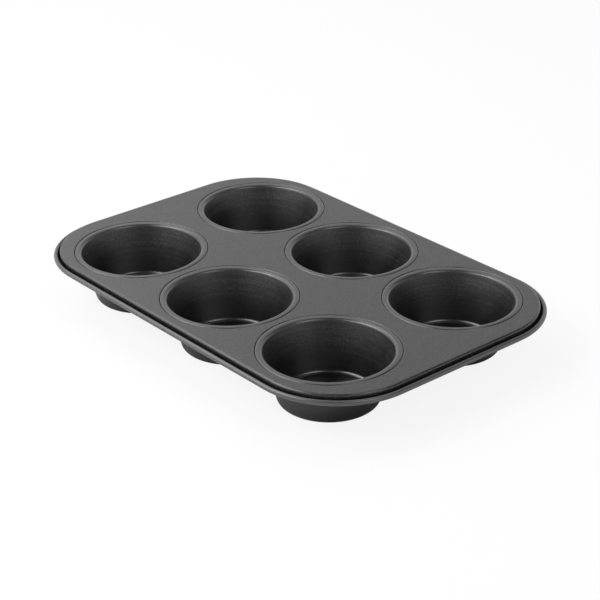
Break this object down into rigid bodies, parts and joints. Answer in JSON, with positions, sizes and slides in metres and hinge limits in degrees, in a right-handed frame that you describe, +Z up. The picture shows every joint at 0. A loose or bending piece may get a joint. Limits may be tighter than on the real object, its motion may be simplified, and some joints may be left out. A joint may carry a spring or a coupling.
{
  "type": "muffin pan",
  "caption": "Rectangular muffin pan with rounded corners: round tapered cups seamed into a flat coated steel deck with a wired, rolled rim, for baking muffins.",
  "frame": {"origin": "middle of the pan, on the plane its cup bases stand on", "axes": "+X along the long side, +Y across the short side, +Z up out of the cups"},
  "size_m": [0.2742, 0.1872, 0.0296],
  "materials": {
    "coated_steel": "satin dark grey non-stick coating",
    "wire_steel": "plain drawn wire"
  },
  "bodies": {
    "root": {"deck": "coated_steel", "rim_wire": "wire_steel", "cup_row1_col1": "coated_steel", "cup_row1_col2": "coated_steel", "cup_row1_col3": "coated_steel", "cup_row2_col1": "coated_steel", "cup_row2_col2": "coated_steel", "cup_row2_col3": "coated_steel"}
  },
  "joints": []
}
